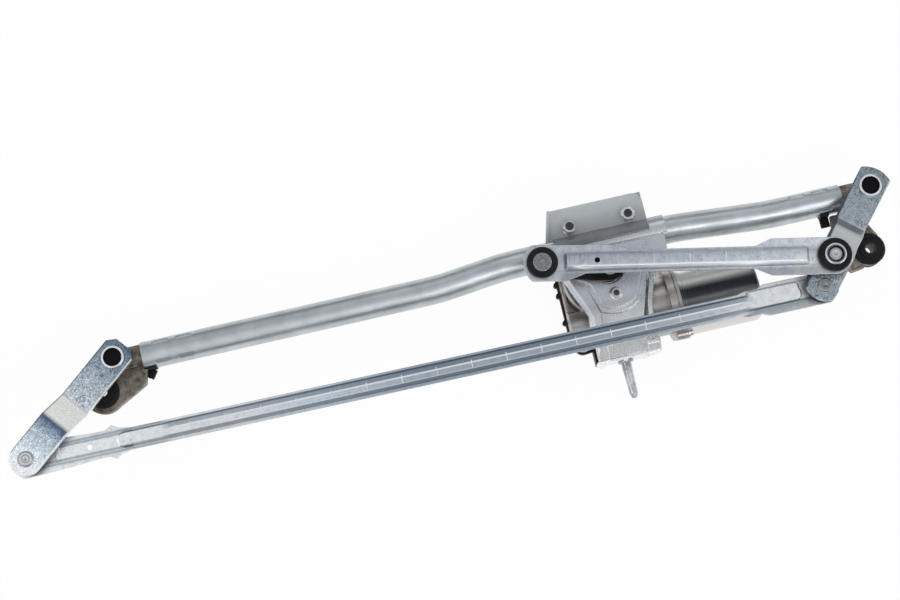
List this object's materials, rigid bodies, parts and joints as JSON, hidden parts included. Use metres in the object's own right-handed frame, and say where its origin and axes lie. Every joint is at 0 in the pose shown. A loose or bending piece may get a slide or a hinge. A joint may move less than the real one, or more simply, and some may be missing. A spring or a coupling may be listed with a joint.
{
  "type": "wiper linkage",
  "caption": "Windscreen wiper linkage: tube frame with two pivot housings, worm gear motor, crank, ball-jointed rods and rocker arms.",
  "frame": {"origin": "on the left spindle's axis, 1.6 mm inside its threaded tip", "axes": "+X from the left spindle to the right one, +Y to the side of the clamp plate and away from the motor, +Z along the spindles to the crank side"},
  "size_m": [0.8008, 0.1761, 0.1208],
  "materials": {
    "tube_steel": "drawn steel tube, satin",
    "cast_dark": "die-cast aluminium, dark as-cast skin",
    "sintered_bronze": "oiled sintered bush",
    "rubber_black": "matt moulded rubber",
    "plated_steel": "zinc-plated steel",
    "clip_plastic": "black moulded plastic",
    "bracket_metal": "bright pressed sheet",
    "plate_metal": "matt light grey sheet",
    "pin_rubber": "turned and fluted, satin",
    "cast_grey": "matt die-cast aluminium",
    "cover_plastic": "black glass-filled plastic",
    "tinned_brass": "tinned blades",
    "can_steel": "drawn steel, dull plated",
    "ferrite": "ferrite magnet",
    "brush_plastic": "moulded brush carrier",
    "ground_steel": "turned and ground steel",
    "core_steel": "laminated steel",
    "copper": "copper",
    "gear_plastic": "moulded gear",
    "zinc_steel": "zinc-coated pressed steel with fine spangle",
    "rod_steel": "zinc-coated pressed steel, bluish grey",
    "ball_steel": "polished, greased steel",
    "socket_plastic": "black moulded socket"
  },
  "bodies": {
    "frame": {"frame_tube": "tube_steel", "left_pivot_housing": "cast_dark", "right_pivot_housing": "cast_dark", "left_spindle_bushes": "sintered_bronze", "right_spindle_bushes": "sintered_bronze", "left_grommet": "rubber_black", "right_grommet": "rubber_black", "left_grommet_sleeve": "plated_steel", "right_grommet_sleeve": "plated_steel", "thrust_washers": "plated_steel", "left_tube_clip": "clip_plastic", "right_tube_clip": "clip_plastic", "motor_bracket": "bracket_metal", "clamp_plate": "plate_metal", "lower_clamp": "bracket_metal", "clamp_bolts": "plated_steel", "clamp_nuts": "plated_steel", "motor_screws": "plated_steel", "locating_pin": "pin_rubber", "gear_housing": "cast_grey", "gear_cover": "cover_plastic", "connector_blades": "tinned_brass", "cover_screw": "plated_steel", "output_bushes": "sintered_bronze", "motor_can": "can_steel", "can_screws": "plated_steel", "magnets": "ferrite", "brush_plate": "brush_plastic", "motor_bearings": "sintered_bronze"},
    "armature": {"armature_shaft": "ground_steel", "armature_core": "core_steel", "armature_windings": "copper", "commutator": "copper"},
    "motor_crank": {"output_shaft": "ground_steel", "worm_wheel": "gear_plastic", "crank_arm": "zinc_steel", "crank_nut": "plated_steel", "crank_stud_rivet": "ball_steel"},
    "right_rocker": {"right_rocker_arm": "zinc_steel", "right_spindle": "ground_steel", "right_circlip": "ground_steel", "drive_stud": "ball_steel", "right_link_stud": "ball_steel"},
    "drive_link": {"drive_rod": "rod_steel", "drive_rod_crank_ball": "ball_steel", "drive_rod_crank_socket": "socket_plastic", "drive_rod_rocker_socket": "socket_plastic", "drive_seal_ring": "plated_steel"},
    "long_link": {"long_rod": "rod_steel", "long_rod_left_ball": "ball_steel", "long_rod_left_socket": "socket_plastic", "long_rod_right_socket": "socket_plastic"},
    "left_rocker": {"left_rocker_arm": "zinc_steel", "left_spindle": "ground_steel", "left_circlip": "ground_steel", "left_stud_rivet": "ball_steel"}
  },
  "joints": [
    {"name": "armature_spin", "type": "hinge", "parent": "frame", "child": "armature", "pos_m": [0.43859, -0.056, 0.033], "axis": [1, 0, 0], "range_deg": [0, 9056.5]},
    {"name": "crank_turn", "type": "hinge", "parent": "frame", "child": "motor_crank", "pos_m": [0.43859, -0.0191, 0.09], "axis": [0, 0, 1], "range_deg": [0, 188.7]},
    {"name": "right_rocker_swing", "type": "hinge", "parent": "frame", "child": "right_rocker", "pos_m": [0.68, 0, 0.083], "axis": [0, 0, 1], "range_deg": [0, 107.25]},
    {"name": "left_rocker_swing", "type": "hinge", "parent": "frame", "child": "left_rocker", "pos_m": [0, 0, 0.083], "axis": [0, 0, 1], "range_deg": [0, 91.66]},
    {"name": "drive_rod_swivel", "type": "hinge", "parent": "right_rocker", "child": "drive_link", "pos_m": [0.6268, -0.05705, 0.109], "axis": [0, 0, 1], "range_deg": [-98.57, 0]},
    {"name": "long_rod_swivel", "type": "hinge", "parent": "right_rocker", "child": "long_link", "pos_m": [0.6148, -0.07909, 0.085], "axis": [0, 0, 1], "range_deg": [-102.88, 0]}
  ],
  "couplings": [
    {"joint": "crank_turn", "follows": "armature_spin", "ratio": 0.020833},
    {"joint": "right_rocker_swing", "follows": "armature_spin", "ratio": 0.01184},
    {"joint": "left_rocker_swing", "follows": "armature_spin", "ratio": 0.010119},
    {"joint": "drive_rod_swivel", "follows": "armature_spin", "ratio": -0.010881},
    {"joint": "long_rod_swivel", "follows": "armature_spin", "ratio": -0.011357}
  ]
}
